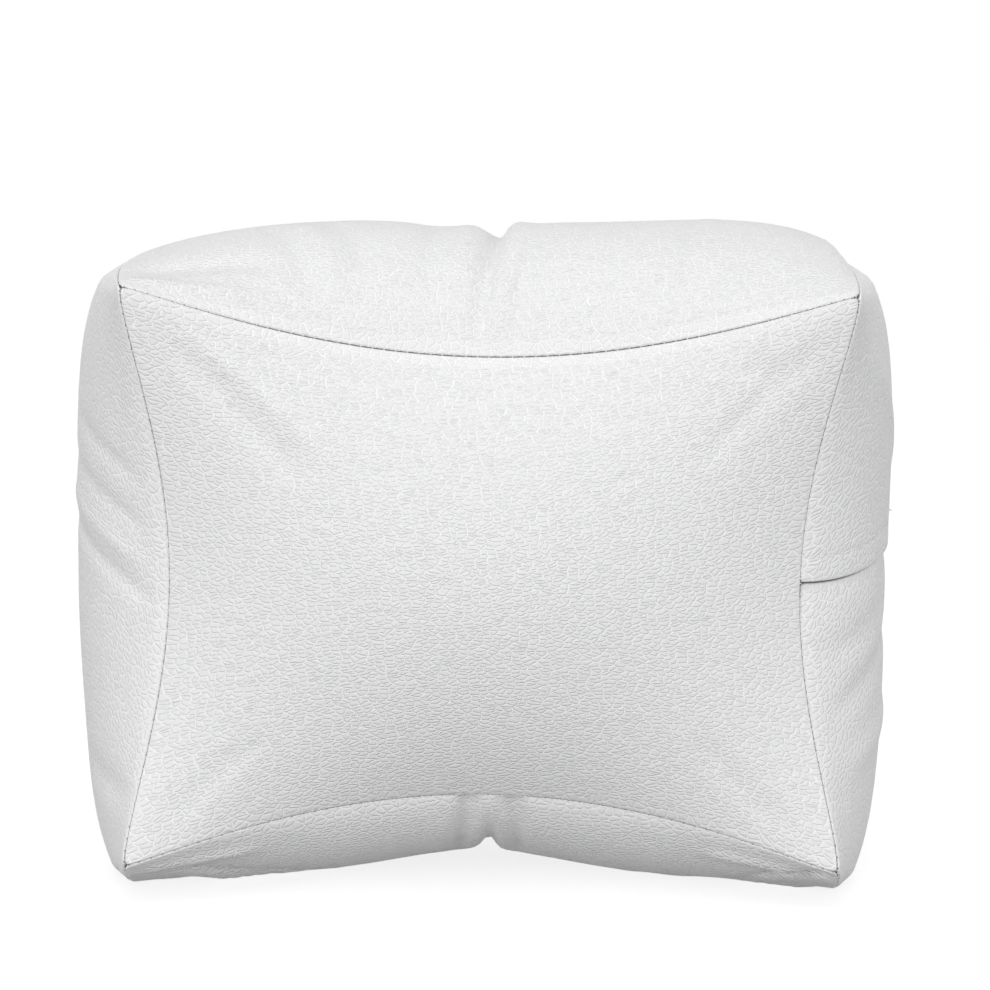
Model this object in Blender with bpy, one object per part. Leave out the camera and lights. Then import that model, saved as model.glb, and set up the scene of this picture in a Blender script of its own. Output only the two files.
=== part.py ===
"""Manicure hand rest: a stuffed box cushion sewn from leatherette panels.

Metres, +Z up, the front panel faces -Y. The origin is at the middle of the face it rests on.
Six panels are sewn along twelve seams. The right side is two pieces that lap over a hidden zip.
"""

import math

import bmesh
import bpy
from mathutils import Matrix, Vector

# The box from corner tip to corner tip
WIDTH = 0.236
HEIGHT = 0.191
DEPTH = 0.120

# How the stuffing pulls the seams in and pushes the panels out
SIDE_SEAM_SAG = 0.0145      # the upright seams curve in by this at mid height
TOP_SEAM_SAG = 0.0226       # the long seams curve in by this at mid width
SEAM_DEPTH_PULL = 0.0128    # mid seam to tip, front to back
TOP_CORNER_BULGE = 0.0050   # the short top seams between the tips rise by this
BOTTOM_CORNER_BULGE = 0.0130
SIDE_CREST = 0.0219         # side panels beyond the tips
TOP_CREST = 0.0200          # top panel beyond the tips
BOTTOM_CREST = 0.0172       # bottom panel beyond the tips, before it is pressed flat
BOTTOM_ARCH = 0.0094        # the bottom panel's middle lies higher than its ends by this
FACE_CREST = 0.0120         # front and back panels beyond the tips
FLATTENED = 0.0040          # how far the bottom is pressed flat by the weight
TOP_CREASE = 0.0040         # crease across the middle of the top panel
BOTTOM_CREASE = 0.0080      # crease across the middle of the bottom panel
CREASE_WIDTH = 0.0060

# Shapes of those curves: a higher power is more pointed, a lower one is fuller
SIDE_SEAM_POWER = 1.45
TOP_SEAM_POWER = 1.1
SEAM_PULL_POWER = 1.2
CREST_POWER = 0.5
ARCH_SHARE = 0.35           # the arch's width, as a share of the half width
FACE_POWER = 0.9
FLAT_ARC = 0.05             # smallest half arc, where a band runs straight between two tips

# Leatherette, thread and the clearances between pieces
SHEET = 0.0012
GAP = 0.0003
THREAD_GAP = 0.0004         # thread to panel edge
LAP_GAP = 0.0004            # flap to the panel under it
THREAD_RADIUS = 0.00045
TOPSTITCH_RADIUS = 0.00025
FILLING_PLAY = 0.0007       # filling to panel
TIP_VOID = 0.0060           # the filling stops this far short of the tips

# Lapped closure, heights above the folded edge that shows
FOLD_HEIGHT = 0.0000        # the fold above the middle of the side
FOLD_LAYER = 0.0008         # layer turned back under the flap
TURN_BACK = 0.0100
TOPSTITCH_ABOVE = 0.0080
UNDERLAP = 0.0015           # the lower panel's edge reaches this far under the flap
DIP_START = 0.0140          # the lower panel starts to dip this far below the fold
DIP_END = 0.0010

# Zip
COIL_WIDTH = 0.0012         # each half
COIL_THICKNESS = 0.0016
COIL_SPLIT = 0.0012         # between the halves, where the slider's post runs
TAPE = 0.0005
TAPE_WIDTH = 0.0085
SLIDER_PLATE = 0.0008
SLIDER_LENGTH = 0.0085
SLIDER_WIDTH = 0.0054
SLIDER_POST = 0.0005
STOP_LENGTH = 0.0020
ZIP_END_MARGIN = 0.0045     # zip tape to seam along the arc

# Facets
FACE_STEPS_X = 16
FACE_STEPS_Z = 14
BAND_STEPS = 12
CLOSURE_STEPS = 20

HALF_W = WIDTH / 2
HALF_H = HEIGHT / 2
HALF_D = DEPTH / 2
FLOOR = HALF_H + BOTTOM_CREST - FLATTENED       # form centre above the floor
SEAM_SET_BACK = THREAD_RADIUS + THREAD_GAP      # panel edge to seam line

# The closure's arc, front to back at mid height
SEAM_HALF_CHORD = HALF_D - SEAM_DEPTH_PULL
BAND_HALF_ANGLE = 2.0 * math.atan((SIDE_SEAM_SAG + SIDE_CREST) / SEAM_HALF_CHORD)
ARC_RADIUS = SEAM_HALF_CHORD / math.sin(BAND_HALF_ANGLE)
ARC_CENTRE_X = HALF_W + SIDE_CREST - ARC_RADIUS

FLAP = SHEET + FOLD_LAYER
DIP = FLAP + LAP_GAP
SLIDER_TOP = FLAP + GAP
COIL_TOP = SLIDER_TOP + SLIDER_PLATE + GAP
COIL_BOTTOM = COIL_TOP + COIL_THICKNESS
COIL_MID = (COIL_TOP + COIL_BOTTOM) / 2
SLIDER_BOTTOM = COIL_BOTTOM + GAP + SLIDER_PLATE
FOLD_Z = FLOOR + FOLD_HEIGHT
ZIP_Z = FOLD_Z + UNDERLAP + GAP + SLIDER_WIDTH / 2
TROUGH = SLIDER_BOTTOM + FILLING_PLAY

WHITE = (0.80, 0.80, 0.79)


def material(name, colour, roughness, metallic=0.0):
    """A plain Principled material."""
    made = bpy.data.materials.new(name)
    made.use_nodes = True
    shader = made.node_tree.nodes["Principled BSDF"]
    shader.inputs["Base Color"].default_value = (*colour, 1.0)
    shader.inputs["Roughness"].default_value = roughness
    shader.inputs["Metallic"].default_value = metallic
    return made


def dome(t, power):
    """1 in the middle of an edge, 0 at its ends."""
    return max(0.0, 1.0 - t * t) ** power


def swell(t):
    """How full a band is: 1 over most of its run, 0 at the tips."""
    return max(0.0, 1.0 - t ** 4) ** CREST_POWER


def crest(t, height, bulge=0.0):
    """Height of a band's crest over the line between two tips. bulge is its height at the tips."""
    return (height - bulge) * swell(t) + bulge


def across(a, b, c):
    """Place and lift along a band's arc, for b from -1 at the front seam to 1 at the back seam.

    The arc is full over most of a band and flattens out to a straight short seam between two tips.
    """
    full = 1.0 - (1.0 - swell(a)) * (1.0 - swell(c))
    half_angle = max(FLAT_ARC, BAND_HALF_ANGLE * full)
    place = math.sin(b * half_angle) / math.sin(half_angle)
    lift = (math.cos(b * half_angle) - math.cos(half_angle)) / (1.0 - math.cos(half_angle))
    return place, lift


def form(a, b, c, inset=0.0):
    """The stuffed shape over a cube's surface: a, b and c run from -1 to 1 along X, Y and Z."""
    half_w = HALF_W - inset
    half_h = HALF_H - inset
    half_d = HALF_D - inset
    place, lift = across(a, b, c)
    seam_x = half_w - SIDE_SEAM_SAG * dome(c, SIDE_SEAM_POWER)
    crest_x = half_w + crest(c, SIDE_CREST)
    seam_z = half_h - TOP_SEAM_SAG * dome(a, TOP_SEAM_POWER)
    if c > 0:
        crest_z = half_h + crest(a, TOP_CREST, TOP_CORNER_BULGE)
        crease = TOP_CREASE
    else:
        crest_z = half_h + crest(a, BOTTOM_CREST, BOTTOM_CORNER_BULGE)
        crest_z -= BOTTOM_ARCH * math.exp(-((a / ARCH_SHARE) ** 2))
        crease = BOTTOM_CREASE
    crest_z -= crease * math.exp(-((a * half_w / CREASE_WIDTH) ** 2))
    pull = SEAM_DEPTH_PULL * (dome(c, SEAM_PULL_POWER) * a * a + dome(a, SEAM_PULL_POWER) * c * c)
    reach = half_d - pull + FACE_CREST * dome(a, FACE_POWER) * dome(c, FACE_POWER)
    x = a * (seam_x + (crest_x - seam_x) * lift)
    z = c * (seam_z + (crest_z - seam_z) * lift)
    return Vector((x, place * reach, max(z + FLOOR, inset)))


FACES = {"front": "-y", "back": "+y", "left": "-x", "right": "+x", "bottom": "-z", "top": "+z"}


def facing(face):
    """Axis number and side of a face of the form."""
    sign, letter = FACES[face]
    return "xyz".index(letter), 1 if sign == "+" else -1


def face_normal(axis, side, point):
    """Outward normal of one face of the form at a cube point, by small steps within the face."""
    step = 0.01
    tangents = []
    for k in range(3):
        if k == axis:
            continue
        low = list(point)
        high = list(point)
        low[axis] = high[axis] = side
        low[k] = max(-1.0, point[k] - step)
        high[k] = min(1.0, point[k] + step)
        tangents.append(form(*high) - form(*low))
    normal = tangents[0].cross(tangents[1]).normalized()
    outward = Vector((0.0, 0.0, 0.0))
    outward[axis] = side
    return normal if normal.dot(outward) > 0 else -normal


def inward(point):
    """Way from the outer skin to the inner one: a normal on a panel, a mitre on a seam."""
    normals = []
    for axis, side in map(facing, FACES):
        if point[axis] * side > 0.9999:
            normals.append(face_normal(axis, side, point))
    if len(normals) == 1:
        return -normals[0]
    if len(normals) == 2:
        one, two = normals
        return -(one + two) / (1.0 + one.dot(two))
    rows = Matrix((normals[0], normals[1], normals[2]))
    return -(rows.inverted() @ Vector((1.0, 1.0, 1.0)))


def cube_point(face, u, v):
    """Cube point of a face from its two run values."""
    axis, side = facing(face)
    point = [u, v]
    point.insert(axis, side)
    return point


def finish(name, mesh_data, look, collection):
    """Wrap a bmesh as an object of the part."""
    bmesh.ops.recalc_face_normals(mesh_data, faces=mesh_data.faces)
    if mesh_data.calc_volume(signed=True) < 0.0:
        bmesh.ops.reverse_faces(mesh_data, faces=mesh_data.faces)
    mesh = bpy.data.meshes.new(name)
    mesh_data.to_mesh(mesh)
    mesh_data.free()
    mesh.materials.append(look)
    made = bpy.data.objects.new(name, mesh)
    collection.objects.link(made)
    mesh.shade_smooth()
    mesh.set_sharp_from_angle(angle=math.radians(40))
    return made


def spread(start, end, steps):
    """Evenly spaced values, both ends included."""
    return [start + (end - start) * k / steps for k in range(steps + 1)]


def snap(t):
    """Move a panel's edge value out to its seam."""
    return math.copysign(1.0, t) if abs(t) > 0.975 else t


def columns(edge):
    """Cube values across the width, closer together at the middle creases."""
    near = CREASE_WIDTH / HALF_W
    half = FACE_STEPS_X // 2 - 1
    return spread(-edge, -2 * near, half) + [-near, 0.0, near] + spread(2 * near, edge, half)


def panel(name, face, run_u, run_v, look, collection, dip=None, thickness=None):
    """A sewn panel: a flat grid slab whose two skins are laid on the form.

    run_u and run_v are cube values along the face's two axes. dip and thickness give the skin's
    depth under the form and the sheet's thickness by the second value.
    """
    slab = bmesh.new()
    count_u = len(run_u) - 1
    count_v = len(run_v) - 1
    bmesh.ops.create_grid(slab, x_segments=count_u, y_segments=count_v, size=0.5)
    whole = bmesh.ops.extrude_face_region(slab, geom=slab.faces[:])
    top = {item for item in whole["geom"] if isinstance(item, bmesh.types.BMVert)}
    for vert in slab.verts:
        u = run_u[round((vert.co.x + 0.5) * count_u)]
        v = run_v[round((vert.co.y + 0.5) * count_v)]
        sunk = dip(v) if dip else 0.0
        sheet = thickness(v) if thickness else SHEET
        # the mitre is taken at the seam, the panel stops short of it
        way = inward(cube_point(face, *(snap(t) for t in (u, v))))
        place = form(*cube_point(face, u, v))
        depth = sunk if vert in top else sunk + sheet
        vert.co = place + way * depth
        vert.co.z = max(vert.co.z, depth)
    return finish(name, slab, look, collection)


def set_back(axis):
    """Cube value at which a panel's edge lies, short of the seam."""
    if axis == 1:
        return 1.0 - SEAM_SET_BACK / (ARC_RADIUS * BAND_HALF_ANGLE)
    return 1.0 - SEAM_SET_BACK / (HALF_W if axis == 0 else HALF_H)


def seam_thread(name, stops, cyclic, look, collection):
    """A thread laid along seams through cube points, just under the skin."""
    curve = bpy.data.curves.new(name, "CURVE")
    curve.dimensions = "3D"
    curve.bevel_depth = THREAD_RADIUS
    curve.bevel_resolution = 1
    curve.use_fill_caps = True
    curve.materials.append(look)
    spline = curve.splines.new("POLY")
    spline.points.add(len(stops) - 1)
    spline.use_cyclic_u = cyclic
    for node, stop in zip(spline.points, stops):
        spot = form(*stop) + inward(stop) * THREAD_RADIUS
        node.co = (*spot, 1.0)
    made = bpy.data.objects.new(name, curve)
    collection.objects.link(made)
    return made


def face_loop(side):
    """Cube points around the front or back panel, tips included."""
    along_x = columns(1.0)
    along_z = spread(-1.0, 1.0, FACE_STEPS_Z)
    loop = [(a, side, 1.0) for a in along_x[:-1]]
    loop += [(1.0, side, -c) for c in along_z[:-1]]
    loop += [(-a, side, -1.0) for a in along_x[:-1]]
    loop += [(-1.0, side, c) for c in along_z[:-1]]
    return loop


def swept_on_arc(name, outline, start, end, steps, look, collection):
    """Turn a closed outline about the closure's upright axis: a solid along the zip.

    outline lists (depth under the skin, height above the zip's middle). start and end are angles.
    """
    solid = bmesh.new()
    corners = []
    for depth, height in outline:
        radius = ARC_RADIUS - depth
        spot = (ARC_CENTRE_X + radius * math.cos(start), radius * math.sin(start), ZIP_Z + height)
        corners.append(solid.verts.new(spot))
    face = solid.faces.new(corners)
    bmesh.ops.spin(
        solid, geom=[face], cent=(ARC_CENTRE_X, 0.0, 0.0), axis=(0.0, 0.0, 1.0),
        angle=end - start, steps=steps, use_duplicate=False,
    )
    return finish(name, solid, look, collection)


def rectangle(deep, shallow, low, high):
    """Outline of a bar between two depths and two heights."""
    return [(deep, low), (shallow, low), (shallow, high), (deep, high)]


def build_panels(look, collection):
    """The seven cover panels."""
    edge_x = set_back(0)
    edge_y = set_back(1)
    edge_z = set_back(2)
    wide = columns(edge_x)
    deep = spread(-edge_y, edge_y, BAND_STEPS)
    high = spread(-edge_z, edge_z, FACE_STEPS_Z)
    panel("front_panel", "front", wide, high, look, collection)
    panel("back_panel", "back", wide, high, look, collection)
    panel("top_panel", "top", wide, deep, look, collection)
    panel("bottom_panel", "bottom", wide, deep, look, collection)
    panel("left_panel", "left", deep, high, look, collection)

    closure = spread(-edge_y, edge_y, CLOSURE_STEPS)
    fold = FOLD_HEIGHT / HALF_H
    per_metre = 1.0 / HALF_H
    turned = fold + TURN_BACK * per_metre
    step_up = turned + GAP * per_metre
    upper = [fold, fold + TURN_BACK / 2 * per_metre, turned, step_up]
    upper += spread(step_up, edge_z, FACE_STEPS_Z // 2 - 1)[1:]
    panel(
        "right_upper_panel", "right", closure, upper, look, collection,
        thickness=lambda v: FLAP if v <= turned + 1e-9 else SHEET,
    )
    start = fold - DIP_START * per_metre
    end = fold - DIP_END * per_metre
    lower = spread(-edge_z, start, FACE_STEPS_Z // 2 - 1)
    lower += spread(start, end, 4)[1:]
    lower.append(fold + UNDERLAP * per_metre)

    def dip(v):
        t = min(1.0, max(0.0, (v - start) / (end - start)))
        return DIP * t * t * (3.0 - 2.0 * t)

    panel("right_lower_panel", "right", closure, lower, look, collection, dip=dip)


def build_filling(look, collection):
    """The stuffing: a rounded block that follows the panels, with a trough behind the zip."""
    run_a = columns(1.0)
    run_b = spread(-1.0, 1.0, BAND_STEPS // 2)
    tape_reach = SLIDER_WIDTH / 2 + TAPE_WIDTH
    per_metre = 1.0 / HALF_H
    zip_c = (ZIP_Z - FLOOR) * per_metre
    low = zip_c - tape_reach * per_metre
    high = zip_c + tape_reach * per_metre
    ramp = TROUGH / 2 * per_metre
    half = FACE_STEPS_Z // 2 - 1
    run_c = spread(-1.0, low - ramp, half) + [low, high] + spread(high + ramp, 1.0, half)
    block = bmesh.new()
    bmesh.ops.create_cube(block, size=1.0)
    counts = (len(run_a) - 1, len(run_b) - 1, len(run_c) - 1)
    for axis, count in enumerate(counts):
        for cut in range(1, count):
            normal = [0.0, 0.0, 0.0]
            normal[axis] = 1.0
            spot = [0.0, 0.0, 0.0]
            spot[axis] = cut / count - 0.5
            geom = block.verts[:] + block.edges[:] + block.faces[:]
            bmesh.ops.bisect_plane(block, geom=geom, plane_co=spot, plane_no=normal)
    inset = SHEET + FILLING_PLAY
    for vert in block.verts:
        steps = [round((vert.co[k] + 0.5) * counts[k]) for k in range(3)]
        a, b, c = run_a[steps[0]], run_b[steps[1]], run_c[steps[2]]
        place = form(a, b, c, inset + TIP_VOID * abs(a * b * c) ** 3)
        if a > 0.999 and low - 1e-6 <= c <= high + 1e-6:
            away = Vector((place.x - ARC_CENTRE_X, place.y, 0.0))
            place -= away.normalized() * TROUGH
        place.z = max(place.z, inset)
        vert.co = place
    finish("filling", block, look, collection)


def build_zip(tape_look, coil_look, metal_look, thread_look, collection):
    """Tapes, coils, stops, slider and the topstitching over them."""
    reach = BAND_HALF_ANGLE - ZIP_END_MARGIN / ARC_RADIUS
    inner = COIL_SPLIT / 2
    outer = inner + COIL_WIDTH
    clear = SLIDER_WIDTH / 2 + GAP
    far = SLIDER_WIDTH / 2 + TAPE_WIDTH
    seat = FLAP + GAP
    mid_top = COIL_MID - TAPE / 2
    mid_low = COIL_MID + TAPE / 2
    rise = mid_top - seat
    upper = [
        (mid_low, outer + GAP), (mid_top, outer + GAP), (mid_top, clear), (seat, clear + rise),
        (seat, far), (seat + TAPE, far), (seat + TAPE, clear + rise), (mid_low, clear),
    ]
    lower = rectangle(mid_low, mid_top, -far, -outer - GAP)
    swept_on_arc("zip_tape_upper", upper, -reach, reach, CLOSURE_STEPS, tape_look, collection)
    swept_on_arc("zip_tape_lower", lower, -reach, reach, CLOSURE_STEPS, tape_look, collection)

    coil_reach = reach - (STOP_LENGTH + GAP) / ARC_RADIUS
    for name, side in (("zip_coil_upper", 1), ("zip_coil_lower", -1)):
        low, high = sorted((side * inner, side * outer))
        bar = rectangle(COIL_BOTTOM, COIL_TOP, low, high)
        swept_on_arc(name, bar, -coil_reach, coil_reach, CLOSURE_STEPS, coil_look, collection)
    stop = rectangle(COIL_BOTTOM, COIL_TOP, -outer, outer)
    stop_angle = STOP_LENGTH / ARC_RADIUS
    swept_on_arc("zip_stop_front", stop, -reach, -reach + stop_angle, 1, metal_look, collection)
    swept_on_arc("zip_stop_back", stop, reach - stop_angle, reach, 1, metal_look, collection)

    half = SLIDER_WIDTH / 2
    post = SLIDER_POST / 2
    plate = SLIDER_TOP + SLIDER_PLATE
    under = SLIDER_BOTTOM - SLIDER_PLATE
    body = [
        (SLIDER_BOTTOM, -half), (under, -half), (under, -post), (plate, -post), (plate, -half),
        (SLIDER_TOP, -half), (SLIDER_TOP, half), (plate, half), (plate, post), (under, post),
        (under, half), (SLIDER_BOTTOM, half),
    ]
    first = -coil_reach + GAP / ARC_RADIUS
    last = first + SLIDER_LENGTH / ARC_RADIUS
    swept_on_arc("zip_slider", body, first, last, 4, metal_look, collection)

    row = FOLD_Z + TOPSTITCH_ABOVE - ZIP_Z
    ring = []
    for k in range(6):
        turn = math.radians(60 * k)
        lift = -(GAP + TOPSTITCH_RADIUS) - TOPSTITCH_RADIUS * math.cos(turn)
        ring.append((lift, row + TOPSTITCH_RADIUS * math.sin(turn)))
    swept_on_arc("lap_topstitch", ring, -reach, reach, CLOSURE_STEPS, thread_look, collection)


def build_threads(look, collection):
    """Seam threads: a loop round the front, a loop round the back and four short corner seams."""
    seam_thread("front_seam_thread", face_loop(-1.0), True, look, collection)
    seam_thread("back_seam_thread", face_loop(1.0), True, look, collection)
    clear = (2 * THREAD_RADIUS + GAP) / (ARC_RADIUS * BAND_HALF_ANGLE)
    stops = spread(-1.0 + 2 * clear, 1.0 - 2 * clear, BAND_STEPS)
    for name, a, c in (
        ("corner_thread_top_left", -1.0, 1.0), ("corner_thread_top_right", 1.0, 1.0),
        ("corner_thread_bottom_left", -1.0, -1.0), ("corner_thread_bottom_right", 1.0, -1.0),
    ):
        seam_thread(name, [(a, b, c) for b in stops], False, look, collection)


def main():
    for old in list(bpy.data.objects):
        bpy.data.objects.remove(old, do_unlink=True)
    collection = bpy.data.collections.new("manicure_hand_rest")
    bpy.context.scene.collection.children.link(collection)
    leatherette = material("white_leatherette", WHITE, 0.45)
    thread = material("white_thread", (0.75, 0.75, 0.73), 0.7)
    fibre = material("fibre_filling", (0.85, 0.85, 0.84), 0.95)
    tape = material("zip_tape", (0.70, 0.70, 0.69), 0.85)
    coil = material("zip_coil", (0.72, 0.72, 0.71), 0.4)
    metal = material("zip_metal", (0.62, 0.62, 0.64), 0.35, 1.0)
    build_panels(leatherette, collection)
    build_filling(fibre, collection)
    build_zip(tape, coil, metal, thread, collection)
    build_threads(thread, collection)


main()
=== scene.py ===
# %% [markdown]
# # A stuffed leatherette hand rest
# The object is a box-shaped cushion for a manicure table. Panels of white leatherette are sewn along
# twelve seams, and fibre pushes them out between the seams. The right side is in two pieces that lap
# over a hidden zip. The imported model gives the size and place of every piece, and this script gives
# them their looks: the skin is stuffed by a cloth simulation, then its seams are sunk, its folds are
# pressed in and its thread is laid, all in metres.

# %% Load the fixed frame
import math

import bmesh
import bpy
import numpy as np
from mathutils import Matrix, Vector


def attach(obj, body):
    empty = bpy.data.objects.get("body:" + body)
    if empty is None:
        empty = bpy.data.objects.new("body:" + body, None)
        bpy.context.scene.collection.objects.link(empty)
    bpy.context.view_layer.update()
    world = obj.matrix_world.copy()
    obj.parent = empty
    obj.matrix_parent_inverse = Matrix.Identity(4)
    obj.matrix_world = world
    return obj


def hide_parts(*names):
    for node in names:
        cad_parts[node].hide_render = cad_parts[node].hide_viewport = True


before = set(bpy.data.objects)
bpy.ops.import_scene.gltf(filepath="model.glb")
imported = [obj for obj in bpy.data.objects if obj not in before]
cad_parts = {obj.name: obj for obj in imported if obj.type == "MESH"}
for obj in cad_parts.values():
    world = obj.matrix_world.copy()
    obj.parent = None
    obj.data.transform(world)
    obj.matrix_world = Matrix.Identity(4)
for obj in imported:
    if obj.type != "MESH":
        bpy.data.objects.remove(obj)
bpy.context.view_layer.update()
scene = bpy.context.scene
MM = 0.001

# %% [markdown]
# ## The photograph's view
# The photograph looks almost straight at the front panel, from a little above and from a distance of
# less than a metre, so near tips look larger than far ones. The camera stands on that line. It looks
# a little past the cushion, because the cushion sits low and left in the picture.

# %% Camera
PHOTO_SIZE = 990
FOCAL_PIXELS = 2299.0
VIEW_ELEVATION = math.radians(9.7)
VIEW_AZIMUTH = math.radians(-0.9)
VIEW_ROLL = math.radians(0.87)
VIEW_DISTANCE = 0.8
CENTRE_PIXEL = (484.7, 554.7)
CENTRE = Vector((0.0, 0.0, 0.1087))
SENSOR_WIDTH = 36.0


def place_camera():
    """Stand the camera on the photograph's line of sight and turn it to the photograph's frame."""
    back = Vector((
        math.sin(VIEW_AZIMUTH) * math.cos(VIEW_ELEVATION),
        -math.cos(VIEW_AZIMUTH) * math.cos(VIEW_ELEVATION),
        math.sin(VIEW_ELEVATION),
    ))
    right = Vector((math.cos(VIEW_AZIMUTH), math.sin(VIEW_AZIMUTH), 0.0))
    up = back.cross(right)
    spot = CENTRE + back * VIEW_DISTANCE
    per_pixel = VIEW_DISTANCE / FOCAL_PIXELS
    half = PHOTO_SIZE / 2
    aim = CENTRE + right * (half - CENTRE_PIXEL[0]) * per_pixel + up * (CENTRE_PIXEL[1] - half) * per_pixel
    behind = (spot - aim).normalized()
    side = right * math.cos(VIEW_ROLL) + up * math.sin(VIEW_ROLL)
    side = (side - behind * side.dot(behind)).normalized()
    top = behind.cross(side)
    lens = bpy.data.cameras.new("photo_camera")
    lens.sensor_width = SENSOR_WIDTH
    lens.lens = SENSOR_WIDTH * FOCAL_PIXELS / PHOTO_SIZE
    camera = bpy.data.objects.new("photo_camera", lens)
    camera.matrix_world = Matrix.Translation(spot) @ Matrix((side, top, behind)).transposed().to_4x4()
    scene.collection.objects.link(camera)
    scene.camera = camera
    return camera


camera = place_camera()
print("camera at", [round(v, 3) for v in camera.matrix_world.translation], "lens", round(camera.data.lens, 1))

# %% [markdown]
# ## The stuffed form
# A stuffed box keeps its eight tips and pulls its seams in between them, while each panel domes out.
# A band panel takes close to an arc from its front seam to its back seam. The form is written over the
# surface of a cube: a, b and c run from -1 to 1 along X, Y and Z. The sizes are those of the frame, but
# the fibre isn't spread evenly, so the left shoulder is slacker than the right one, the top has a
# shallow dip with a crease, and the bottom arches up to a pinch in the middle.

# %% Sizes of the form
HALF_W = 118 * MM
HALF_H = 95.5 * MM
HALF_D = 60 * MM
HALVES = (HALF_W, HALF_D, HALF_H)
FLOOR = 108.7 * MM
# how far the seams are drawn in, and how blunt the bow of each is
SIDE_SEAM_SAG = 14.5 * MM
TOP_SEAM_SAG = 22.6 * MM
SEAM_DEPTH_PULL = 12.8 * MM
SIDE_SAG_POWER = 1.45
TOP_SAG_POWER = 1.1
PULL_POWER = 1.2
FACE_POWER = 0.9
# how far the bands and faces stand out, in the middle and at the tips
TOP_LEFT_BULGE = 4.5 * MM
TOP_RIGHT_BULGE = 8.5 * MM
BOTTOM_CORNER_BULGE = 19 * MM
TOP_LEFT_TIP = 4.5 * MM
TOP_RIGHT_TIP = 2.5 * MM
BOTTOM_RIGHT_TIP = 4.5 * MM
SIDE_CREST = 21.9 * MM
LEFT_SLACK = 1.8 * MM
LEFT_SLACK_RUN = (0.1, 0.5)
TOP_CREST = 20 * MM
TOP_RIGHT_RISE = 4 * MM
TOP_RISE_RUN = (0.25, 0.65)
BOTTOM_CREST = 17.2 * MM
BOTTOM_ARCH = 9.4 * MM
ARCH_SHARE = 0.35
FACE_CREST = 12 * MM
TOP_CREASE = 2.5 * MM
TOP_DIP = 2.4 * MM
DIP_PLACE = -6 * MM
DIP_WIDTH = 22 * MM
BOTTOM_CREASE = 2.0 * MM
CREASE_PLACE = 2.4 * MM
CREASE_WIDTH = 5 * MM
BAND_HALF_ANGLE = 2.0 * math.atan((SIDE_SEAM_SAG + SIDE_CREST) / (HALF_D - SEAM_DEPTH_PULL))
LEAST_HALF_ANGLE = 0.05


def ease(values):
    """A smooth step from 0 to 1."""
    held = np.clip(values, 0.0, 1.0)
    return held * held * (3.0 - 2.0 * held)


def bump_at(values, place, width):
    """A soft hump of height 1."""
    return np.exp(-(((values - place) / width) ** 2))


def dome(t, power):
    """1 in the middle of an edge, 0 at its ends."""
    return np.clip(1.0 - t * t, 0.0, 1.0) ** power


def swell(t):
    """How full a band is: 1 over most of its run, 0 at the tips."""
    return np.clip(1.0 - t ** 4, 0.0, 1.0) ** 0.5


def top_crest(a):
    """How far the top band's crest stands above the tips: slack on the left, full on the right."""
    slack = np.clip(1.0 - np.abs(a) ** 3, 0.0, 1.0) ** 0.8
    fullness = np.where(a < 0.0, slack, swell(a))
    bulge = np.where(a < 0.0, TOP_LEFT_BULGE, TOP_RIGHT_BULGE)
    crest = (TOP_CREST - bulge) * fullness + bulge
    crest += TOP_RIGHT_RISE * ease((a - TOP_RISE_RUN[0]) / TOP_RISE_RUN[1]) * swell(a)
    crest -= TOP_DIP * bump_at(a * HALF_W, DIP_PLACE, DIP_WIDTH)
    return crest - TOP_CREASE * bump_at(a * HALF_W, CREASE_PLACE, CREASE_WIDTH)


def bottom_crest(a):
    """How far the bottom band's crest hangs below the tips, with its arch and its pinch."""
    crest = (BOTTOM_CREST - BOTTOM_CORNER_BULGE) * swell(a) + BOTTOM_CORNER_BULGE
    crest -= BOTTOM_ARCH * bump_at(a, 0.0, ARCH_SHARE)
    return crest - BOTTOM_CREASE * bump_at(a * HALF_W, CREASE_PLACE, CREASE_WIDTH)


def side_crest(a, c):
    """How far a side band's crest stands out beyond the tips: slack low on the left."""
    left = a < 0.0
    upper_tip = np.where(left, TOP_LEFT_TIP, TOP_RIGHT_TIP)
    lower_tip = np.where(left, 0.0, BOTTOM_RIGHT_TIP)
    bulge = np.where(c > 0.0, upper_tip, lower_tip)
    crest = (SIDE_CREST - bulge) * swell(c) + bulge
    low_down = ease((-c - LEFT_SLACK_RUN[0]) / LEFT_SLACK_RUN[1])
    return crest - np.where(left, LEFT_SLACK, 0.0) * low_down * swell(c)


def form(a, b, c):
    """Points of the stuffed form for arrays of cube values."""
    full = 1.0 - (1.0 - swell(a)) * (1.0 - swell(c))
    half_angle = np.maximum(LEAST_HALF_ANGLE, BAND_HALF_ANGLE * full)
    place = np.sin(b * half_angle) / np.sin(half_angle)
    lift = (np.cos(b * half_angle) - np.cos(half_angle)) / (1.0 - np.cos(half_angle))
    seam_x = HALF_W - SIDE_SEAM_SAG * dome(c, SIDE_SAG_POWER)
    crest_x = HALF_W + side_crest(a, c)
    seam_z = HALF_H - TOP_SEAM_SAG * dome(a, TOP_SAG_POWER)
    crest_z = HALF_H + np.where(c > 0.0, top_crest(a), bottom_crest(a))
    pull = SEAM_DEPTH_PULL * (dome(c, PULL_POWER) * a * a + dome(a, PULL_POWER) * c * c)
    reach = HALF_D - pull + FACE_CREST * dome(a, FACE_POWER) * dome(c, FACE_POWER)
    x = a * (seam_x + (crest_x - seam_x) * lift)
    z = c * (seam_z + (crest_z - seam_z) * lift) + FLOOR
    return np.stack([x, place * reach, np.maximum(z, 0.0)], axis=-1)


corner_tips = form(np.array([-1.0, 1.0]), np.array([-1.0, -1.0]), np.array([1.0, 1.0]))
print("front upper tips in mm:", np.round(corner_tips / MM, 1).tolist())

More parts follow.
